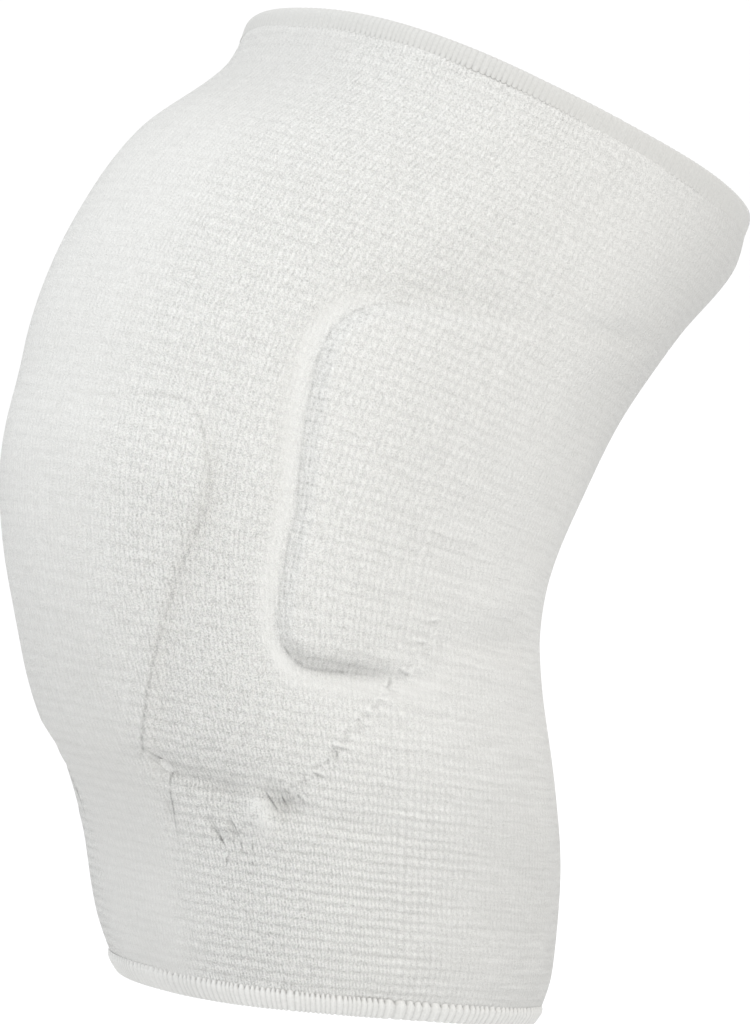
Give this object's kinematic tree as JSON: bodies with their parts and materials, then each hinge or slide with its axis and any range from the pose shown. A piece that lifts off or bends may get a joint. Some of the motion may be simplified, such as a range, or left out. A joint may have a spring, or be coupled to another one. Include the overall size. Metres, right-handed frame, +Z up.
{
  "type": "knee pad",
  "caption": "Knitted sleeve-style knee pad in its worn, slightly bent form, with a raised foam pad over the kneecap, foam pads at the sides and ribbed hem bands.",
  "frame": {"origin": "centre of the knee inside the hollow, on the middle of the sleeve's bend, where a knee holds the pad", "axes": "+Z up towards the thigh, -Y out of the front of the knee, +X towards the outer side; the plane X = 0 divides the part evenly"},
  "size_m": [0.1356, 0.1928, 0.2555],
  "materials": {
    "knit": "matt white ribbed knit",
    "hem": "matt white folded knit welt",
    "foam": "matt white covered foam"
  },
  "bodies": {
    "root": {"sleeve": "knit", "thigh_hem": "hem", "shin_hem": "hem", "kneecap_pad": "foam", "side_pad_outer": "foam", "side_pad_inner": "foam"}
  },
  "joints": []
}
